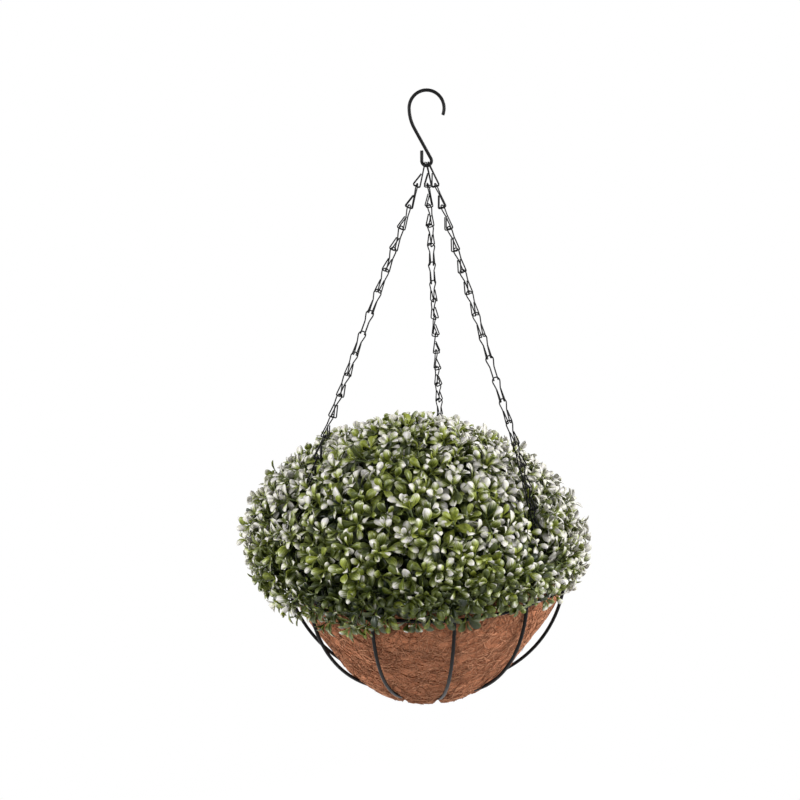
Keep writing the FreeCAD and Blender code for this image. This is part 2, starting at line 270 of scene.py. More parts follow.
def bent_wire(name, path, wire_r, sides, step):
    """Round wire bent round each corner of a path, given as (corner, bend radius) pairs."""
    shortest_run, least_turn, merge_reach = wire_r * 0.05, 0.01, wire_r * 0.02
    points = [Vector(corner) for corner, _ in path]
    first = (points[1] - points[0]).normalized()
    wire = start_skin(name, vertices=sides, radius=wire_r, location=points[0],
                      rotation=first.to_track_quat("Z", "Y").to_euler())
    here = points[0]
    for i in range(1, len(points)):
        before = (points[i] - points[i - 1]).normalized()
        start = points[i]
        turn = 0.0
        if i < len(points) - 1:
            after = (points[i + 1] - points[i]).normalized()
            turn = before.angle(after)
            tangent = path[i][1] * math.tan(turn / 2)
            start = points[i] - before * tangent
        if (start - here).length > shortest_run:
            draw_on(start - here)
        here = start
        if turn > least_turn:
            axis = before.cross(after).normalized()
            centre = start + axis.cross(before) * path[i][1]
            steps = max(2, math.ceil(turn / step))
            bpy.ops.mesh.spin(steps=steps, angle=-turn, center=centre, axis=axis)
            here = points[i] + after * tangent
    bpy.ops.mesh.select_all(action="SELECT")
    bpy.ops.mesh.remove_doubles(threshold=merge_reach)
    leave_skin(sides)
    return wire


def soften_ends(wire, wire_r):
    """Rounds the edges where flat ends meet the side of a wire."""
    bevel = wire.modifiers.new("ends", "BEVEL")
    bevel.width = wire_r * 0.3
    bevel.segments = 2
    bevel.limit_method = "ANGLE"
    bevel.angle_limit = math.radians(60)
    apply_modifiers(wire)


def apply_modifiers(piece):
    choose(piece)
    for modifier in list(piece.modifiers):
        bpy.ops.object.modifier_apply(modifier=modifier.name)


def joined(name, pieces):
    """One object made of several."""
    deselect()
    for piece in pieces:
        piece.select_set(True)
    bpy.context.view_layer.objects.active = pieces[0]
    bpy.ops.object.join()
    pieces[0].name = name
    return pieces[0]


def smooth(piece, angle=40):
    choose(piece)
    bpy.ops.object.shade_smooth_by_angle(angle=math.radians(angle))
    return piece


def copied(template, name, matrix):
    """Copy of a modelled piece with its own mesh, put in place by a matrix."""
    piece = template.copy()
    piece.data = template.data.copy()
    piece.data.transform(matrix)
    piece.name = name
    bpy.context.scene.collection.objects.link(piece)
    return piece


def dressed(piece, material, slot, body, *nodes):
    """Gives a finished piece its material and body, and says which nodes it stands for; slot is
    not used.
    """
    piece.data.materials.clear()
    piece.data.materials.append(material)
    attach(piece, body)
    if nodes:
        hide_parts(*nodes)
    return piece


# ---------------------------------------------------------------- materials

def group_sockets(group, way, *names):
    for name in names:
        group.interface.new_socket(name=name, in_out=way, socket_type="NodeSocketFloat")


def linked(tree, kind, places, **settings):
    """New node with its settings, and links or values for its input sockets."""
    node = tree.nodes.new(kind)
    for key, value in settings.items():
        setattr(node, key, value)
    for key, value in places.items():
        if isinstance(value, bpy.types.NodeSocket):
            tree.links.new(value, node.inputs[key])
        else:
            node.inputs[key].default_value = value
    return node


def maths(tree, operation, a, b=0.0, c=0.0):
    return linked(tree, "ShaderNodeMath", {0: a, 1: b, 2: c}, operation=operation).outputs[0]


def mixed(tree, factor, a, b):
    """Colour between a and b, each given as a socket or as three numbers."""
    a, b = [colour if isinstance(colour, bpy.types.NodeSocket) else (*colour, 1)
            for colour in (a, b)]
    return linked(tree, "ShaderNodeMix", {0: factor, 6: a, 7: b}, data_type="RGBA").outputs[2]


def noise(tree, vector, scale, detail, **more):
    node = linked(tree, "ShaderNodeTexNoise", {
        "Vector": vector, "Scale": scale, "Detail": detail, **more})
    return node.outputs


def attribute(tree, name):
    return linked(tree, "ShaderNodeAttribute", {}, attribute_name=name).outputs["Fac"]


def bump_up(tree, shader, height, strength, distance):
    bump = linked(tree, "ShaderNodeBump", {
        "Height": height, "Strength": strength, "Distance": distance})
    tree.links.new(bump.outputs[0], shader.inputs["Normal"])


def ramp_between(tree, value, low, high):
    """0 below low, 1 above high, smooth between them."""
    node = linked(tree, "ShaderNodeMapRange", {0: value, 1: low, 2: high},
                  interpolation_type="SMOOTHSTEP")
    return node.outputs[0]


def object_coordinates(tree):
    return tree.nodes.new("ShaderNodeTexCoord").outputs["Object"]


def grain_group():
    """Fine uneven surface that all the moulded and coated pieces share."""
    group = bpy.data.node_groups.new("fine_grain", "ShaderNodeTree")
    group_sockets(group, "INPUT", "Scale", "Low", "High")
    group_sockets(group, "OUTPUT", "Roughness", "Height")
    inputs = group.nodes.new("NodeGroupInput").outputs
    outputs = group.nodes.new("NodeGroupOutput").inputs
    height = noise(group, object_coordinates(group), inputs["Scale"], 4.0, Roughness=0.6)[0]
    spread = linked(group, "ShaderNodeMapRange", {
        0: height, 1: 0.3, 2: 0.7, 3: inputs["Low"], 4: inputs["High"]})
    group.links.new(spread.outputs[0], outputs["Roughness"])
    group.links.new(height, outputs["Height"])
    return group


def fibre_group():
    """Matted fibres: strand and fleck masks from noise drawn out in several directions; the
    flecks are the gaps between fibres, where shade is painted.
    """
    group = bpy.data.node_groups.new("matted_fibres", "ShaderNodeTree")
    group_sockets(group, "OUTPUT", "Strands", "Gap_shade")
    outputs = group.nodes.new("NodeGroupOutput").inputs
    place = object_coordinates(group)
    shift = linked(group, "ShaderNodeVectorMath", {
        0: noise(group, place, 90.0, 1.0)[1], 1: (0.012, 0.012, 0.012)}, operation="MULTIPLY")
    bent = linked(group, "ShaderNodeVectorMath", {0: place, 1: shift.outputs[0]}).outputs[0]
    strands = 0.0
    for turn in ((0, 0.5, 0.2), (0, 1.3, 0.9), (0, 2.2, 0.3), (0, 2.9, 1.2), (0, 0.9, 2.3)):
        drawn = linked(group, "ShaderNodeMapping", {
            0: bent, "Rotation": turn, "Scale": (100.0, 1000.0, 1000.0)})
        strand = ramp_between(group, noise(group, drawn.outputs[0], 1.0, 2.0)[0], 0.56, 0.72)
        strands = maths(group, "MAXIMUM", strands, strand)
    # mask of the gaps between fibres, where coir_material paints shade
    spots = noise(group, bent, 480.0, 3.0, Roughness=0.65)[0]
    group.links.new(strands, outputs["Strands"])
    group.links.new(ramp_between(group, spots, 0.55, 0.68), outputs["Gap_shade"])
    return group


def new_material(name):
    material = bpy.data.materials.new(name)
    material.use_nodes = True
    tree = material.node_tree
    return material, tree, tree.nodes["Principled BSDF"]


def add_grain(tree, shader, scale, low, high, strength, distance):
    """Grain of a size, between two roughnesses, raised by a bump; gives its height socket."""
    grain = linked(tree, "ShaderNodeGroup", {}, node_tree=GRAIN)
    grain.inputs["Scale"].default_value = scale
    grain.inputs["Low"].default_value = low
    grain.inputs["High"].default_value = high
    tree.links.new(grain.outputs["Roughness"], shader.inputs["Roughness"])
    bump_up(tree, shader, grain.outputs["Height"], strength, distance)
    return grain.outputs["Height"]


def black_coat(name, worn):
    """Black plastic-coated wire: satin, a little greyer where it has been handled."""
    material, tree, shader = new_material(name)
    rub = ramp_between(
        tree, add_grain(tree, shader, 900.0, 0.3, 0.52, 0.15, 0.0002), 0.5, 0.75)
    tree.links.new(mixed(tree, rub, (0.002, 0.002, 0.0022), (worn, worn, worn)),
                   shader.inputs["Base Color"])
    shader.inputs["Specular IOR Level"].default_value = 0.12
    return material


def coir_material(name, strand_piece):
    """Matted coconut fibre: reddish brown with paler strands, and dark flecks in the gaps between
    them that are painted shade.
    """
    material, tree, shader = new_material(name)
    fibres = linked(tree, "ShaderNodeGroup", {}, node_tree=FIBRES).outputs
    patches = noise(tree, object_coordinates(tree), 38.0, 3.0)[0]
    ground = mixed(tree, ramp_between(tree, patches, 0.35, 0.65),
                   (0.30, 0.106, 0.049), (0.44, 0.165, 0.080))
    if strand_piece:
        # strand colours run at random from dark brown, which also paints strands in shadow, to
        # pale tan
        pale = mixed(tree, attribute(tree, "tone_and_shadow"), (0.14, 0.044, 0.020), (0.80, 0.40, 0.23))
        colour = mixed(tree, 0.2, pale, ground)
    else:
        pale = mixed(tree, maths(tree, "MULTIPLY", fibres["Strands"], 0.6),
                     ground, (0.66, 0.32, 0.18))
        # painted shade: the dark flecks sit in the sunken gaps between fibres
        colour = mixed(tree, maths(tree, "MULTIPLY", fibres["Gap_shade"], 0.8),
                       pale, (0.070, 0.022, 0.010))
    tree.links.new(colour, shader.inputs["Base Color"])
    shader.inputs["Roughness"].default_value = 0.85
    shader.inputs["Specular IOR Level"].default_value = 0.1
    height = maths(tree, "SUBTRACT", fibres["Strands"], fibres["Gap_shade"])
    bump_up(tree, shader, height, 0.7, 0.0012)
    return material


def leaf_material():
    """Moulded boxwood leaf: green, with a cream edge and a cream-white outer end."""
    material, tree, shader = new_material("moulded_leaf")
    across, along = leaf_directions(tree)
    # shade is painted shade, darker deep in the ball and low in front; cream, the real white leaf
    # end, also holds painted light at the sides and painted shade at the top
    shade, cream = attribute(tree, "shade"), attribute(tree, "cream")
    mottle = noise(tree, object_coordinates(tree), 420.0, 2.0)[0]
    drawn = linked(tree, "ShaderNodeMapping", {
        0: linked(tree, "ShaderNodeUVMap", {}, uv_map="leaf").outputs[0],
        "Scale": (11.0, 1.0, 1.0)})
    streak_at = linked(tree, "ShaderNodeVectorMath", {
        0: drawn.outputs[0], 1: object_coordinates(tree)})
    streaks = noise(tree, streak_at.outputs[0], 1.0, 2.0)[0]
    # green, from the shaded inside of the ball to the lit outside
    deep = mixed(tree, shade, (0.005, 0.012, 0.001), (0.105, 0.132, 0.008))
    lit = mixed(tree, ramp_between(tree, maths(tree, "MULTIPLY", mottle, shade), 0.25, 0.5),
                deep, (0.19, 0.22, 0.020))
    # how far a place lies past the streaked line where the white end starts
    start = maths(tree, "MULTIPLY_ADD", cream, -0.95, 1.81)
    past = maths(tree, "SUBTRACT", maths(tree, "ADD", streaks, along), start)
    edge = ramp_between(tree, maths(tree, "MULTIPLY_ADD", cream, 0.4, across), 0.75, 1.3)
    rim = maths(tree, "MAXIMUM", edge, ramp_between(tree, past, -0.2, 0.12))
    margin = maths(tree, "MULTIPLY", rim, maths(tree, "MULTIPLY_ADD", shade, 0.7, 0.3))
    green = mixed(tree, margin, lit, (0.31, 0.36, 0.075))
    white = mixed(tree, ramp_between(tree, mottle, 0.3, 0.7),
                  (0.56, 0.55, 0.43), (0.61, 0.585, 0.605))
    tree.links.new(mixed(tree, ramp_between(tree, past, 0.0, 0.30), green, white),
                   shader.inputs["Base Color"])
    add_grain(tree, shader, 700.0, 0.32, 0.5, 0.25, 0.0003)
    shader.inputs["Specular IOR Level"].default_value = 0.4
    return material


def leaf_directions(tree):
    """Distance from the midrib (0 to 1 at the edge) and place along the leaf (1 at the tip)."""
    uv = linked(tree, "ShaderNodeUVMap", {}, uv_map="leaf")
    parts = linked(tree, "ShaderNodeSeparateXYZ", {0: uv.outputs[0]})
    side = maths(tree, "SUBTRACT", parts.outputs[0], 0.5)
    return maths(tree, "MULTIPLY", maths(tree, "ABSOLUTE", side), 2.0), parts.outputs[1]


def stem_material():
    material, tree, shader = new_material("moulded_stem")
    height = add_grain(tree, shader, 500.0, 0.4, 0.6, 0.2, 0.0003)
    tree.links.new(mixed(tree, height, (0.05, 0.08, 0.015), (0.14, 0.18, 0.05)),
                   shader.inputs["Base Color"])
    return material


def foam_material():
    material, tree, shader = new_material("planting_foam")
    cells = linked(tree, "ShaderNodeTexVoronoi", {
        "Vector": object_coordinates(tree), "Scale": 420.0}).outputs["Distance"]
    tree.links.new(mixed(tree, cells, (0.012, 0.02, 0.006), (0.03, 0.05, 0.016)),
                   shader.inputs["Base Color"])
    shader.inputs["Roughness"].default_value = 0.9
    bump_up(tree, shader, cells, 0.5, 0.001)
    return material


# ---------------------------------------------------------------- S hook

def s_hook():
    """Crook, slacker side curve, straight shank, tight lower bend, free leg."""
    side_x = CROOK_SIDE_R - CROOK_R
    reach = math.hypot(side_x, CROOK_TO_BEND)
    lean = math.atan2(CROOK_TO_BEND, side_x) - math.acos((CROOK_SIDE_R + BEND_R) / reach)
    bend_z = CROOK_Z - CROOK_TO_BEND
    corners = arc_corners((0, CROOK_Z), CROOK_R, CROOK_END, math.pi, 4)
    corners += arc_corners((side_x, CROOK_Z), CROOK_SIDE_R, math.pi, math.pi + lean, 1)
    corners += arc_corners((0, bend_z), BEND_R, lean, -math.pi, 4)
    tip = (CROOK_R * math.cos(CROOK_END), CROOK_Z + CROOK_R * math.sin(CROOK_END))
    flat = [(tip, 0)] + corners + [((-BEND_R, bend_z + BEND_LEG), 0)]
    path = [((x, 0, z), radius) for (x, z), radius in flat]
    hook = bent_wire("s_hook_wire", path, HOOK_WIRE_R, **HOOK_FACETS)
    soften_ends(hook, HOOK_WIRE_R)
    return smooth(hook)


# ---------------------------------------------------------------- chains

def chain_link():
    """Link with its top at the origin and its load along -Z; its hooks open towards +X."""
    lean = math.asin(LINK_HOOK_W / 2 / LINK_LENGTH)
    foot_z = -LINK_LENGTH * math.cos(lean) - LINK_HOOK_W / 2 * LINK_HOOK_RISE

    def leg(y):
        return [
            ((2 * LINK_WIRE_R, y, foot_z + LINK_TIP_H), 0),
            ((LINK_HOOK_W, y, foot_z + LINK_HOOK_W * LINK_HOOK_RISE), LINK_BEND_R),
            ((0, y, foot_z), LINK_BEND_R),
            ((0, y, -LINK_NECK_DROP), 2 * LINK_TOP_R),
        ]

    top = arc_corners((0, -LINK_TOP_R), LINK_TOP_R, 0, math.pi, 3)
    path = leg(LINK_LEG_Y) + [((0, y, z), r) for (y, z), r in top]
    path += list(reversed(leg(-LINK_LEG_Y)))
    link = bent_wire("link", path, LINK_WIRE_R, **LINK_FACETS)
    link.data.transform(Matrix.Rotation(lean, 4, "Y"))
    return smooth(link)


def link_place(apex, down, flare_azimuth):
    """Matrix that puts the link's top at the apex, its load along down, its hooks by azimuth."""
    z_axis = -down
    flare = radial(flare_azimuth)
    x_axis = (flare - z_axis * flare.dot(z_axis)).normalized()
    y_axis = z_axis.cross(x_axis)
    turn = Matrix((x_axis, y_axis, z_axis)).transposed().to_4x4()
    return Matrix.Translation(apex) @ turn


def chain_line(side):
    """First apex of the upper run, its downward direction, and the kink at the foliage."""
    joint = JOINTS["chain_%s_twist" % side]
    down = -Vector(joint["axis"]).normalized()
    start = Vector(joint["pos_m"])
    return start, down, start + down * (LINK_PITCH * UPPER_RUN)


def chain(side, template):
    """The three pieces of one chain, each for its own node."""
    start, down, kink = chain_line(side)
    rim = radial(CHAIN_AZIMUTH[side], RIM_R, RIM_Z)
    lower_down = (rim - kink).normalized()
    turn = UPPER_TWIST[side] / UPPER_RUN
    lower_turn = (FULL_TWIST[side] - UPPER_TWIST[side]) / LOWER_RUN
    places = {"top_link": [link_place(start - down * LINK_PITCH, down, TOP_FLARE)]}
    places["upper_run"] = [
        link_place(start + down * (LINK_PITCH * i), down, TOP_FLARE + turn * (i + 1))
        for i in range(UPPER_RUN)]
    places["lower_run"] = [
        link_place(kink + lower_down * (LINK_PITCH * i), lower_down,
                   TOP_FLARE + UPPER_TWIST[side] + lower_turn * (i + 1))
        for i in range(LOWER_RUN)]
    pieces = {}
    for part, matrices in places.items():
        copies = [copied(template, "link_copy", matrix) for matrix in matrices]
        pieces[part] = joined("chain_%s_%s_wire" % (side, part), copies)
    return pieces


# ---------------------------------------------------------------- wire basket

def rib_arc():
    """Centre of the ribs' curve in the (radius, z) plane, and its first and last angle."""
    top, foot = (RIB_TOP_R, RIM_Z), (RIB_END_R, RIM_Z - BASKET_DEPTH)
    dx, dz = foot[0] - top[0], foot[1] - top[1]
    chord = math.hypot(dx, dz)
    back = math.sqrt(RIB_ARC_R ** 2 - (chord / 2) ** 2) / chord
    centre = ((top[0] + foot[0]) / 2 + dz * back, (top[1] + foot[1]) / 2 - dx * back)
    first = math.atan2(top[1] - centre[1], top[0] - centre[0])
    last = math.atan2(foot[1] - centre[1], foot[0] - centre[0])
    return centre, first, last


def rib_at(angle, out=0.0):
    """Point (radius, z) on the ribs' curve, moved outwards along its normal."""
    centre, _, _ = rib_arc()
    reach = RIB_ARC_R + out
    return centre[0] + reach * math.cos(angle), centre[1] + reach * math.sin(angle)


def weld(place, size):
    """Small flattened bead where two wires are welded."""
    deselect()
    bpy.ops.mesh.primitive_uv_sphere_add(segments=10, ring_count=6, radius=1, location=place)
    bead = bpy.context.object
    bead.scale = size
    apply_transform()
    return bead


def rib_template():
    """Rib in the plane of azimuth 0, with its welds to the rim and the base ring."""
    centre, first, last = rib_arc()
    corners = arc_corners(centre, RIB_ARC_R, first, last, 2)
    top = (RIB_TOP_R, RIM_Z + RIB_TOP_H)
    flat = [(top, 0)] + corners + [((RIB_END_R, RIM_Z - BASKET_DEPTH), 0)]
    path = [((0, -r, z), radius) for (r, z), radius in flat]
    rib = bent_wire("rib", path, FRAME_WIRE_R, **RIB_FACETS)
    soften_ends(rib, FRAME_WIRE_R)
    low_r, low_z = rib_at(rib_angle(BASE_RING_R), FRAME_WIRE_R)
    beads = [weld((0, -(RIB_TOP_R + FRAME_WIRE_R), RIM_Z), RIM_WELD),
             weld((0, -low_r, low_z), BASE_WELD)]
    return smooth(joined("rib", [rib] + beads))


def rib_angle(radius):
    """Angle on the ribs' curve at a distance from the Z axis."""
    centre, _, _ = rib_arc()
    return -math.acos((radius - centre[0]) / RIB_ARC_R)


def ring(name, radius, z):
    """Ring of frame wire round the Z axis, with the bead of its butt weld at the rear."""
    deselect()
    bpy.ops.mesh.primitive_torus_add(
        location=(0, 0, z), major_radius=radius, minor_radius=FRAME_WIRE_R,
        major_segments=RING_STEPS, minor_segments=FRAME_SIDES)
    wire = bpy.context.object
    apply_transform()
    bead = weld(radial(BUTT_WELD_AZIMUTH, radius, z), BUTT_WELD)
    return smooth(joined(name, [wire, bead]))


# ---------------------------------------------------------------- turned bodies

def turned_body(name, profile, segments):
    """Skin round the Z axis: a ring extruded and resized along a profile of (radius, z)."""
    body = start_skin(name, vertices=segments, radius=profile[0][0],
                      location=(0, 0, profile[0][1]))
    for (r0, z0), (r1, z1) in zip(profile, profile[1:]):
        draw_on((0, 0, z1 - z0))
        bpy.ops.transform.resize(value=(r1 / r0, r1 / r0, 1), center_override=(0, 0, z1))
    bpy.ops.mesh.edge_face_add()
    leave_skin()
    return body


def liner_profile():
    """Outside of the liner, from its top edge to near its middle, as (radius, z)."""
    top_r = RIB_TOP_R - FRAME_WIRE_R - LINER_GAP
    points = []
    for i in range(COLLAR_STEPS):
        share = 1 - i / COLLAR_STEPS
        points.append((top_r - LINER_LEAN * share, RIM_Z + LINER_TOP_H * share))
    belly = rib_angle(BELLY_R)
    start = rib_angle(RIB_TOP_R)
    for i in range(WALL_STEPS + 1):
        share = i / WALL_STEPS
        slack = LINER_SLACK * math.sin(math.pi * share ** 1.25) ** 1.5
        # over its last fifth the wall comes out between the ribs
        rise = max(0.0, share - 0.8) / 0.2
        inset = (FRAME_WIRE_R + LINER_GAP + slack) * (1 - rise)
        points.append(rib_at(start + (belly - start) * share, -inset))
    flat_z = rib_at(rib_angle(BASE_RING_R))[1] - FRAME_WIRE_R - BELLY_FLAT_DROP
    from_r, from_z = points[-1]
    for i in range(1, BELLY_STEPS + 1):
        share = i / BELLY_STEPS
        radius = from_r + (BELLY_FLAT_R - from_r) * share
        fall = math.sin(share * math.pi / 2) ** 0.9
        points.append((radius, from_z + (flat_z - from_z) * fall))
    for share in (0.75, 0.5, 0.25, 0.08):
        points.append((BELLY_FLAT_R * share, flat_z))
    return points


def noise_field(points, scale, seed):
    """Smooth random values from -1 to 1 at points, from a few crossed waves."""
    waves, usual_peak = 14, 5.0
    rng = np.random.default_rng(seed)
    total = np.zeros(len(points))
    for _ in range(waves):
        direction = rng.normal(size=3)
        direction /= np.linalg.norm(direction)
        wave = 2 * math.pi / scale * rng.uniform(0.6, 1.7)
        total += np.sin(points @ direction * wave + rng.uniform(0, 2 * math.pi))
    return np.clip(total / usual_peak, -1, 1)


def uneven(points, waves):
    """Noise fields added up, each given as (height, size, seed)."""
    return sum(height * noise_field(points, size, seed) for height, size, seed in waves)


def vertex_array(mesh):
    co = np.empty(len(mesh.vertices) * 3)
    mesh.vertices.foreach_get("co", co)
    return co.reshape(-1, 3)


def rib_dents(points):
    """How far the ribs press into the mat at points on it."""
    centre, _, _ = rib_arc()
    radius = np.hypot(points[..., 0], points[..., 1])
    azimuth = np.arctan2(points[..., 0], -points[..., 1])
    pitch = 2 * math.pi / RIB_COUNT
    off = (azimuth - RIB_START + pitch / 2) % pitch - pitch / 2
    near = np.exp(-(off * radius / RIB_DENT_W) ** 4)
    proud = np.hypot(radius - centre[0], points[..., 2] - centre[1]) - RIB_ARC_R
    reached = np.clip((radius - RIB_END_R + RIB_DENT_DEPTH) / RIB_DENT_DEPTH, 0, 1)
    return near * np.clip(proud + RIB_DENT_ROOM, 0, RIB_DENT_DEPTH) * reached


def coir_liner():
    """Pressed coir bowl with a lumpy skin and an uneven top edge."""
    liner = turned_body("coir_mat", liner_profile(), LINER_STEPS)
    co = vertex_array(liner.data)
    away = np.array([v.normal for v in liner.data.vertices])
    co += away * (uneven(co, SKIN_LUMPS) - SKIN_SET_BACK - rib_dents(co))[:, None]
    # 0 below the rim and 1 at the top edge
    edge = np.clip((co[:, 2] - RIM_Z - LINER_TOP_H * 0.3) / (LINER_TOP_H * 0.7), 0, 1)
    co[:, 2] += edge * (uneven(co, EDGE_WAVES) - EDGE_SET_DOWN)
    liner.data.vertices.foreach_set("co", co.ravel())
    wall = liner.modifiers.new("wall", "SOLIDIFY")
    wall.thickness = LINER_T
    wall.offset = -1
    apply_modifiers(liner)
    return smooth(liner, 60)


def strand_template():
    """One straight coconut fibre along X, three-sided and of unit length."""
    strand = start_skin("strand", vertices=3, radius=STRAND_R, rotation=(0, math.pi / 2, 0))
    for _ in range(STRAND_RUNS):
        draw_on((1 / STRAND_RUNS, 0, 0))
    leave_skin(3)
    return strand


def template_arrays(piece):
    """Vertices, faces and corner UVs of a small modelled piece, which is then removed."""
    mesh = piece.data
    co = vertex_array(mesh)
    faces = [tuple(p.vertices) for p in mesh.polygons]
    uvs = None
    if "leaf" in mesh.uv_layers:
        uvs = np.array([tuple(loop.uv) for loop in mesh.uv_layers["leaf"].data])
    bpy.data.objects.remove(piece)
    return co, faces, uvs


def repeated(name, co, faces, uvs=None, values=None):
    """One mesh of many copies: co is copies by vertices by 3, values are one per copy."""
    copies, count = co.shape[:2]
    mesh = bpy.data.meshes.new(name)
    loops = np.concatenate([np.array(f) for f in faces])
    all_loops = (loops[None] + np.arange(copies)[:, None] * count).ravel()
    totals = np.tile(np.array([len(f) for f in faces]), copies)
    starts = np.concatenate([[0], np.cumsum(totals)[:-1]])
    mesh.vertices.add(copies * count)
    mesh.vertices.foreach_set("co", co.ravel())
    mesh.loops.add(len(all_loops))
    mesh.loops.foreach_set("vertex_index", all_loops)
    mesh.polygons.add(len(totals))
    mesh.polygons.foreach_set("loop_start", starts)
    mesh.polygons.foreach_set("loop_total", totals)
    mesh.update(calc_edges=True)
    if uvs is not None:
        layer = mesh.uv_layers.new(name="leaf")
        layer.data.foreach_set("uv", np.tile(uvs, (copies, 1)).ravel())
    for key, value in (values or {}).items():
        attribute = mesh.attributes.new(key, "FLOAT", "POINT")
        attribute.data.foreach_set("value", np.repeat(value, count).astype(np.float32))
    mesh.polygons.foreach_set("use_smooth", np.ones(len(totals), bool))
    mesh.validate()
    piece = bpy.data.objects.new(name, mesh)
    bpy.context.scene.collection.objects.link(piece)
    return piece


def coir_strands():
    """Loose fibres that lie on the liner's outside and stand out of its top edge."""
    co, faces, _ = template_arrays(strand_template())
    rng = np.random.default_rng(11)
    profile = np.array(liner_profile())
    steps = np.hypot(*np.diff(profile, axis=0).T)
    measure = np.concatenate([[0], np.cumsum(steps)])
    slope = np.gradient(profile, measure, axis=0)
    # place down the side from the top edge, in proportion to the girth there
    down = rng.uniform(0, measure[-1], STRANDS * 2)
    girth = np.interp(down, measure, profile[:, 0]) / profile[:, 0].max()
    down = down[rng.uniform(0, 1, STRANDS * 2) < girth][:STRANDS]
    count = len(down)
    round_at = rng.uniform(0, 2 * math.pi, count)
    length = rng.uniform(*STRAND_LENGTH, count)
    heading = rng.uniform(0, math.pi, count)
    bow = rng.normal(0, 1.0, count)
    wave = rng.normal(0, 0.6, count)
    thick = rng.uniform(*STRAND_THICKNESS, count)[:, None]
    # each strand's own directions: along it, aside on the liner, and height off the liner
    s = co[:, 0][None] - 0.5
    along = s * length[:, None]
    aside = bow[:, None] * (0.25 - s ** 2) + wave[:, None] * np.sin(s * 6) * 0.12
    aside = aside * length[:, None] + co[:, 1][None] * thick
    lift = rng.uniform(*STRAND_LIFT, count)[:, None]
    is_stray = (rng.uniform(0, 1, count) < STRAY_SHARE)[:, None]
    stray = is_stray * np.maximum(s, 0) ** 2 * STRAY_RISE
    height = lift + stray + co[:, 2][None] * thick
    turn_cos, turn_sin = np.cos(heading)[:, None], np.sin(heading)[:, None]
    down_at = np.clip(down[:, None] + along * turn_sin + aside * turn_cos, -0.001, measure[-1])
    side_at = along * turn_cos - aside * turn_sin
    radius = np.interp(down_at, measure, profile[:, 0])
    z = np.interp(down_at, measure, profile[:, 1])
    out_r = -np.interp(down_at, measure, slope[:, 1])
    out_z = np.interp(down_at, measure, slope[:, 0])
    azimuth = round_at[:, None] + side_at / np.maximum(radius, 0.012)
    points = np.stack([radius * np.sin(azimuth), -radius * np.cos(azimuth), z], axis=2)
    height = height - rib_dents(points)
    away = np.stack([out_r * np.sin(azimuth), -out_r * np.cos(azimuth), out_z], axis=2)
    points += away * height[..., None]
    # random colour of each strand; its dark end is partly painted shadow
    tone_and_shadow = rng.beta(1.2, 1.2, count)
    return repeated("coir_strands", points, faces, values={"tone_and_shadow": tone_and_shadow})


def foam_block():
    """Foam block under the sprigs: fills the liner and ends in a low dome."""
    wall = liner_profile()[COLLAR_STEPS:COLLAR_STEPS + WALL_STEPS + 1]
    inside = [(r - (LINER_T + CORE_GAP), z) for r, z in wall]
    shoulder_r = inside[0][0] - LINER_LEAN
    rise = CORE_TOP_H - CORE_SHOULDER_H
    profile = []
    for i in range(CORE_STEPS):
        angle = math.pi / 2 * (1 - i / CORE_STEPS) * 0.97
        profile.append((shoulder_r * math.cos(angle),
                        RIM_Z + CORE_SHOULDER_H + rise * math.sin(angle)))
    profile += [(shoulder_r, RIM_Z + CORE_SHOULDER_H)] + inside
    foot_r, foot_z = profile[-1]
    profile += [(foot_r * 0.5, foot_z), (foot_r * 0.1, foot_z)]
    block = turned_body("foam_block", profile, 96)
    return smooth(block, 60)


# ---------------------------------------------------------------- leaves

def leaf_template():
    """Spoon-shaped leaf along X, upper side +Z, four-sided in section and closed at both ends."""
    leaf = start_skin("leaf", (LEAF_T, LEAF_HALF_W * LEAF_STATIONS[0][1], 1),
                      vertices=4, radius=1, rotation=(0, math.pi / 2, 0))
    for (x0, w0), (x1, w1) in zip(LEAF_STATIONS, LEAF_STATIONS[1:]):
        draw_on(((x1 - x0) * LEAF_LENGTH, 0, 0))
        bpy.ops.transform.resize(value=(1, w1 / w0, 1), center_override=(0, 0, 0))
    leave_skin(4)
    mesh = leaf.data
    layer = mesh.uv_layers.new(name="leaf")
    flat = vertex_array(mesh)
    for polygon in mesh.polygons:
        for corner in polygon.loop_indices:
            x, y, _ = flat[mesh.loops[corner].vertex_index]
            share = x / LEAF_LENGTH
            edge = 0.5 if abs(y) < 1e-6 else (1.0 if y > 0 else 0.0)
            layer.data[corner].uv = (edge, share)
    # cup the blade and curl its tip back
    for vertex in mesh.vertices:
        x, y, _ = vertex.co
        share = x / LEAF_LENGTH
        cup = LEAF_CUP * abs(y) * min(1.0, share * 1.6)
        vertex.co.z += cup + LEAF_ARCH * math.sin(math.pi * share) - LEAF_CURL * share ** 3
    return leaf


def ball_point(azimuth, lift):
    """Point on the ball of leaves by azimuth and lift angle (radians), and its normal."""
    rise = BALL_TOP_H - BALL_MID_H
    flat = radial(math.degrees(azimuth))
    point = flat * (BALL_R * max(0.0, math.cos(lift)) ** BALL_TAPER) + BALL_SHIFT
    point.z = RIM_Z + BALL_MID_H + rise * math.sin(lift)
    normal = flat * (math.cos(lift) / BALL_R) + Vector((0, 0, math.sin(lift) / rise))
    return point, normal.normalized()


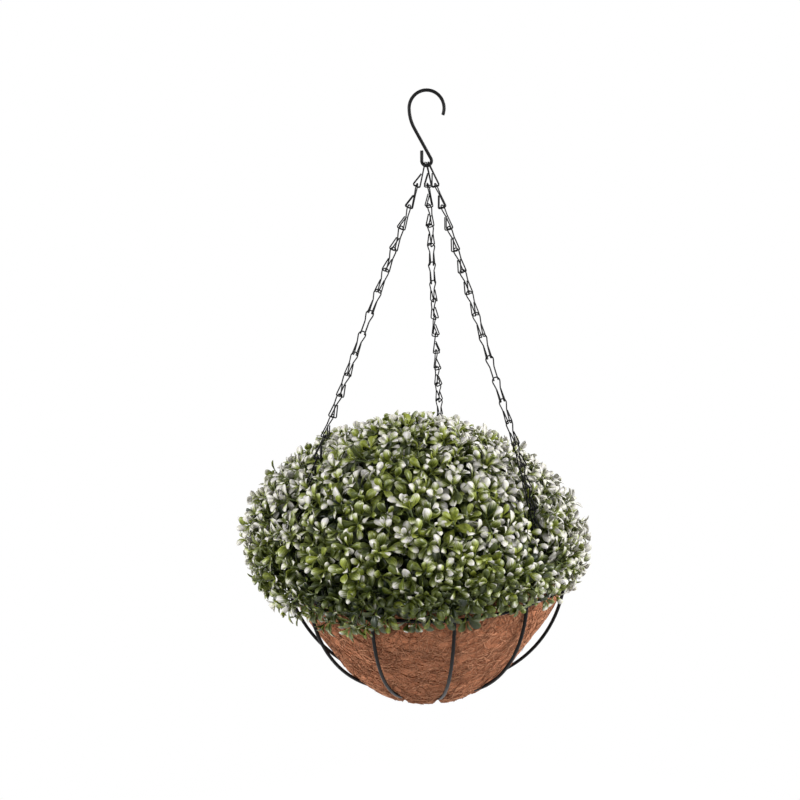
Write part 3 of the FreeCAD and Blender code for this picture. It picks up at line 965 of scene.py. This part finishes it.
def chain_hollow(point):
    """How far the chains press the leaves in at a point of the ball."""
    depth = 0.0
    for side, azimuth in CHAIN_AZIMUTH.items():
        _, _, kink = chain_line(side)
        rim = radial(azimuth, RIM_R, RIM_Z)
        share = max(0.0, min(1.0, (kink.z - point.z) / (kink.z - rim.z)))
        line_r = math.hypot(kink.x, kink.y) * (1 - share) + RIM_R * share
        here_r = math.hypot(point.x, point.y)
        here = math.degrees(math.atan2(point.x, -point.y))
        off = (here - azimuth + 180) % 360 - 180
        if abs(azimuth) < 90:
            off = off if azimuth > 0 else -off
        width = HOLLOW_FRONT_W if off < 0 else HOLLOW_REAR_W
        across = math.radians(off) * here_r
        wanted = max(0.0, here_r - line_r - HOLLOW_MARGIN) * HOLLOW_SHARE[side]
        depth = max(depth, wanted * math.exp(-(across / width) ** 2))
    return depth


def hem_drop(azimuth):
    """How much lower the last rows of sprigs hang round the rim than on average."""
    drop = 0.0
    for middle, width, depth in HEM_DROPS:
        off = (math.degrees(azimuth) - middle + 180) % 360 - 180
        drop += depth * math.exp(-(off / width) ** 2)
    return drop


def core_distance(tip, inwards):
    """Distance from a sprig's tip along a direction to the foam block's dome."""
    point = tip.copy()
    for i in range(PROBE_STEPS):
        height = point.z - RIM_Z - CORE_SHOULDER_H
        radius = math.hypot(point.x, point.y)
        if height < CORE_TOP_H - CORE_SHOULDER_H:
            share = max(0.0, height / (CORE_TOP_H - CORE_SHOULDER_H))
            if radius < CORE_DOME_R * math.sqrt(1 - share ** 2):
                return i * PROBE_STEP
        point += inwards * PROBE_STEP
    return PROBE_STEPS * PROBE_STEP


def ball_seats():
    """Azimuth and lift angle, in radians, of every sprig over the ball."""
    seats = []
    rows = int(BALL_R * math.pi / 2 / SPRIG_SPACING)
    for row in range(rows + 1):
        lift = math.pi / 2 * (1 - row / rows)
        ring_r = BALL_R * math.cos(lift)
        count = max(1, int(2 * math.pi * ring_r / SPRIG_SPACING))
        for k in range(count):
            azimuth = (2 * math.pi * (k + 0.5 * (row % 2)) / count
                       + random.uniform(-0.4, 0.4) / max(count, 4))
            at = lift + random.uniform(-0.5, 0.5) * SPRIG_SPACING / BALL_R
            seats.append((azimuth, min(at, math.pi / 2)))
    return seats


def hem_seats(rng):
    """Azimuth, tip and foot of each of the lowest sprigs, which hang over the rim."""
    seats = []
    for height, tip_r, foot_h in HEM_ROWS:
        count = int(2 * math.pi * BALL_R / HEM_SPACING)
        for k in range(count):
            azimuth = 2 * math.pi * (k + rng.uniform(-0.4, 0.4)) / count
            flat = radial(math.degrees(azimuth))
            tip = flat * (tip_r + rng.gauss(0, 0.003)) + BALL_SHIFT * 0.6
            tip.z = RIM_Z + height + rng.gauss(0, 0.003) - hem_drop(azimuth)
            foot = flat * HEM_FOOT_R
            foot.z = RIM_Z + foot_h + rng.uniform(0, 0.006)
            seats.append((azimuth, tip, foot))
    return seats


def sprig(rng, reach):
    """Leaves of one sprig as (depth below its tip, azimuth, tilt from the stem, size)."""
    leaves = []
    turn = rng.uniform(0, math.pi)
    depth = 0.0
    for step, tilt, size in SPRIG_PAIRS:
        depth += step * rng.uniform(0.85, 1.2)
        if depth > reach - SPRIG_SUNK:
            break
        for half in (0, math.pi):
            leaves.append((
                depth,
                turn + half + rng.uniform(-0.3, 0.3),
                math.radians(tilt + rng.uniform(-18, 16)),
                size * rng.uniform(0.85, 1.12),
            ))
        turn += math.pi / 2 + rng.uniform(-0.25, 0.25)
    return leaves


def sprig_places(rng):
    """Azimuth, tip and foot of every sprig: over the ball, then along its hem."""
    places = []
    for azimuth, lift in ball_seats():
        tip, normal = ball_point(azimuth, lift)
        outward = (tip - Vector((0, 0, RIM_Z + 0.01))).normalized()
        heading = (normal * 0.5 + outward * 0.5).normalized()
        lean = Vector((rng.gauss(0, 1), rng.gauss(0, 1), rng.gauss(0.25, 1))) * SPRIG_LEAN
        if lean.length > SPRIG_MOST_LEAN:
            lean = lean.normalized() * SPRIG_MOST_LEAN
        heading = (heading + lean).normalized()
        inset = SPRIG_INSET + chain_hollow(tip) + max(-0.004, rng.gauss(0.001, 0.003))
        tip = tip - heading * inset
        reach = min(core_distance(tip, -heading) + SPRIG_SUNK, SPRIG_MOST_REACH)
        foot = tip - heading * reach
        foot.z = max(foot.z, RIM_Z + SPRIG_FOOT_H)
        places.append((azimuth, tip, foot))
    return places + hem_seats(rng)


def clipped(value):
    return min(1.0, max(0.0, value))


def plant_leaves(material, stem):
    """All sprigs: leaves as a few large meshes, and their stems as one."""
    rng = random.Random(23)
    co, faces, uvs = template_arrays(leaf_template())
    turns, moves, sizes, shades, creams_and_painted_light, azimuths = [], [], [], [], [], []
    stems = []
    for azimuth, tip, foot in sprig_places(rng):
        heading = (tip - foot).normalized()
        spin = Matrix.Rotation(rng.uniform(0, 2 * math.pi), 3, "Z")
        up = heading.to_track_quat("Z", "Y").to_matrix() @ spin
        stems.append((tip, foot))
        # painted light and shade: leaves are creamier at the two sides, more so on the right, as
        # painted light, and darker, greener and less creamy low down in front and behind and less
        # creamy at the top, as painted shade
        sprig_shade = rng.gauss(0, 0.14)
        height = tip.z - RIM_Z
        low = max(0.0, min(1.0, (0.075 - height) / 0.06, 0.35 + height / 0.035))
        side_on = abs(math.sin(azimuth + 0.1)) ** 3
        centre_low = low * (1 - side_on)
        high = max(0.0, (height - 0.09) / 0.06) * (1 - side_on)
        sprig_cream_and_painted_light = (rng.gauss(0, 0.2) + 0.30 * side_on + 0.12 * side_on * math.sin(azimuth)
                       - 0.8 * centre_low - 0.22 * high)
        for depth, around, tilt, size in sprig(rng, (tip - foot).length):
            turn = (up @ Matrix.Rotation(around, 3, "Z")
                    @ Matrix.Rotation(tilt - math.pi / 2, 3, "Y")
                    @ Matrix.Rotation(rng.gauss(0, 0.35), 3, "X"))
            turns.append([list(row) for row in turn])
            moves.append(list(tip - heading * depth))
            sizes.append(size)
            # 1 at the sprig's tip, 0 deep in the ball
            outer = 1 - depth / 0.034
            # painted shade: darker deep in the ball and low down in front and behind; the rest is
            # random tone
            shades.append(clipped(0.05 + 0.62 * outer + sprig_shade - 0.4 * centre_low
                                  + rng.gauss(0, 0.14)))
            # cream, the real white leaf end, rises towards the tip and also holds the painted
            # light and shade set above
            creams_and_painted_light.append(clipped(0.02 + 0.70 * outer + sprig_cream_and_painted_light + rng.gauss(0, 0.2)))
            azimuths.append(azimuth)
    points = np.einsum("nij,vj->nvi", np.array(turns), co) * np.array(sizes)[:, None, None]
    points += np.array(moves)[:, None, :]
    keep = clear_of_chains(points) & clear_of_liner(points)
    order = np.argsort(np.array(azimuths)[keep], kind="stable")
    points, shades, creams_and_painted_light = [
        np.array(values)[keep][order] for values in (points, shades, creams_and_painted_light)]
    for i in range(LEAF_PIECES):
        part = slice(len(points) * i // LEAF_PIECES, len(points) * (i + 1) // LEAF_PIECES)
        piece = repeated("leaves_%d" % (i + 1), points[part], faces, uvs,
                         {"shade": shades[part], "cream": creams_and_painted_light[part]})
        dressed(piece, material, "leaves", "basket", "foliage")
    stem_piece(stems, stem)


def stem_piece(stems, material):
    """Thin stems from the foam block to the sprigs' tips."""
    deselect()
    bpy.ops.mesh.primitive_cone_add(
        vertices=5, radius1=0.0011, radius2=0.0006, depth=1, location=(0, 0, 0.5))
    apply_transform()
    co, faces, _ = template_arrays(bpy.context.object)
    copies = []
    for tip, foot in stems:
        run = tip - foot
        turn = np.array(run.normalized().to_track_quat("Z", "Y").to_matrix())
        stretched = co * np.array((1, 1, run.length))
        copies.append(stretched @ turn.T + np.array(foot))
    points = np.array(copies)
    keep = clear_of_chains(points)
    piece = repeated("sprig_stems", points[keep], faces)
    dressed(piece, material, "leaves", "basket")


def clear_of_chains(points):
    """Copies with no vertex near a chain's line."""
    keep = np.ones(len(points), bool)
    for side, azimuth in CHAIN_AZIMUTH.items():
        start, down, kink = chain_line(side)
        rim = radial(azimuth, RIM_R, RIM_Z)
        past_kink = kink + down * 0.004
        for a, b, room in ((start, past_kink, CHAIN_ROOM_ABOVE),
                           (kink, rim, CHAIN_ROOM_IN_BALL)):
            a, b = np.array(a), np.array(b)
            line = b - a
            share = np.clip(((points - a) @ line) / (line @ line), 0, 1)
            gap = np.linalg.norm(points - a - share[..., None] * line, axis=2)
            keep &= gap.min(axis=1) > room
    return keep


def clear_of_liner(points):
    """Copies that don't cut through the liner's wall or the rim wire."""
    wall_in, wall_out, rim_out, rim_top = 0.126, 0.1475, 0.152, 0.002
    radius = np.hypot(points[..., 0], points[..., 1])
    height = points[..., 2] - RIM_Z
    in_wall = (radius < wall_out) & (radius > wall_in) & (height < LINER_TOP_H)
    below = (radius < rim_out) & (height < rim_top)
    return ~(in_wall | below).any(axis=1)


# ---------------------------------------------------------------- stage

def floor_material():
    """White floor that takes the object's shadow near the middle and is plain white beyond."""
    material, tree, shader = new_material("studio_floor")
    shader.inputs["Base Color"].default_value = (0.97, 0.97, 0.97, 1)
    shader.inputs["Roughness"].default_value = 0.9
    distance = linked(tree, "ShaderNodeVectorMath", {0: object_coordinates(tree)},
                      operation="LENGTH")
    far = ramp_between(tree, distance.outputs["Value"], 0.7, 1.5)
    seen = linked(tree, "ShaderNodeMix", {0: far, 2: 0.0, 3: seen_ray(tree)})
    glow = linked(tree, "ShaderNodeEmission", {"Color": (1, 1, 1, 1), "Strength": 1.0})
    blend = linked(tree, "ShaderNodeMixShader", {
        0: seen.outputs[0], 1: shader.outputs[0], 2: glow.outputs[0]})
    tree.links.new(blend.outputs[0], tree.nodes["Material Output"].inputs["Surface"])
    return material


def seen_ray(tree):
    """1 for rays from the camera, off a glossy surface or through glass."""
    rays = tree.nodes.new("ShaderNodeLightPath").outputs
    both = maths(tree, "MAXIMUM", rays["Is Camera Ray"], rays["Is Glossy Ray"])
    return maths(tree, "MAXIMUM", both, rays["Is Transmission Ray"])


def stage():
    """Floor well below the hanging part, white surroundings and soft lamps."""
    deselect()
    bpy.ops.mesh.primitive_circle_add(vertices=96, radius=30, fill_type="NGON",
                                      location=(0, 0, CAD_BOX[0][2] - FLOOR_DROP))
    floor = bpy.context.object
    floor.name = "studio_floor"
    floor.data.materials.append(floor_material())
    world = bpy.data.worlds.new("studio")
    bpy.context.scene.world = world
    world.use_nodes = True
    tree = world.node_tree
    back = tree.nodes["Background"]
    back.inputs["Color"].default_value = (1, 1, 1, 1)
    level = linked(tree, "ShaderNodeMix", {0: seen_ray(tree), 2: AMBIENT, 3: 1.0})
    tree.links.new(level.outputs[0], back.inputs["Strength"])
    middle = Vector((0, 0, RIM_Z + 0.05))
    for name, place, size, power in LAMPS:
        light = bpy.data.lights.new(name, "AREA")
        light.size = size
        light.energy = power
        aimed(name, light, Vector(place), middle)


def aimed(name, data, place, aim):
    """Object at a place, turned so that its -Z points at another."""
    holder = bpy.data.objects.new(name, data)
    holder.location = place
    holder.rotation_euler = (aim - place).to_track_quat("-Z", "Y").to_euler()
    bpy.context.scene.collection.objects.link(holder)
    return holder


def camera():
    """Camera in front, a little above the leaves, looking slightly down."""
    aim = Vector((0, 0, RIM_Z + CAMERA_AIM_H))
    towards = Vector((0, -math.cos(CAMERA_ELEVATION), math.sin(CAMERA_ELEVATION)))
    data = bpy.data.cameras.new("camera")
    data.lens = 47.25
    data.sensor_width = 36
    data.shift_x = -0.03325
    data.shift_y = -0.0124
    data.clip_start = 0.01
    bpy.context.scene.camera = aimed("camera", data, aim + towards * CAMERA_DISTANCE, aim)


# ---------------------------------------------------------------- building it

GRAIN = grain_group()
FIBRES = fibre_group()
camera()
stage()
hook_coat = black_coat("hook_coat", 0.010)
chain_coat = black_coat("chain_coat", 0.008)
frame_coat = black_coat("frame_coat", 0.016)

dressed(s_hook(), hook_coat, "hook_wire", "hook", "s_hook")

link_model = chain_link()
for side in CHAIN_AZIMUTH:
    for part, piece in chain(side, link_model).items():
        body = "chain_" + side if part == "upper_run" else "basket"
        dressed(piece, chain_coat, "chain_wire", body, "chain_%s_%s" % (side, part))
bpy.data.objects.remove(link_model)

dressed(ring("rim_wire", RIM_R, RIM_Z), frame_coat, "frame_wire", "basket", "rim_ring")
rib_model = rib_template()
for number in range(1, RIB_COUNT + 1):
    turn = Matrix.Rotation(RIB_START + 2 * math.pi * (number - 1) / RIB_COUNT, 4, "Z")
    rib_wire = copied(rib_model, "rib_wire_%02d" % number, turn)
    dressed(rib_wire, frame_coat, "frame_wire", "basket", "rib_%02d" % number)
bpy.data.objects.remove(rib_model)
base_wire = ring("base_wire", *rib_at(rib_angle(BASE_RING_R), 2 * FRAME_WIRE_R))
dressed(base_wire, frame_coat, "frame_wire", "basket", "base_ring")

dressed(coir_liner(), coir_material("coir", False), "coir", "basket", "coir_liner")
dressed(coir_strands(), coir_material("coir_strand", True), "coir", "basket")
dressed(foam_block(), foam_material(), "foam", "basket", "foam_core")
plant_leaves(leaf_material(), stem_material())

bpy.context.scene.view_settings.view_transform = "Standard"
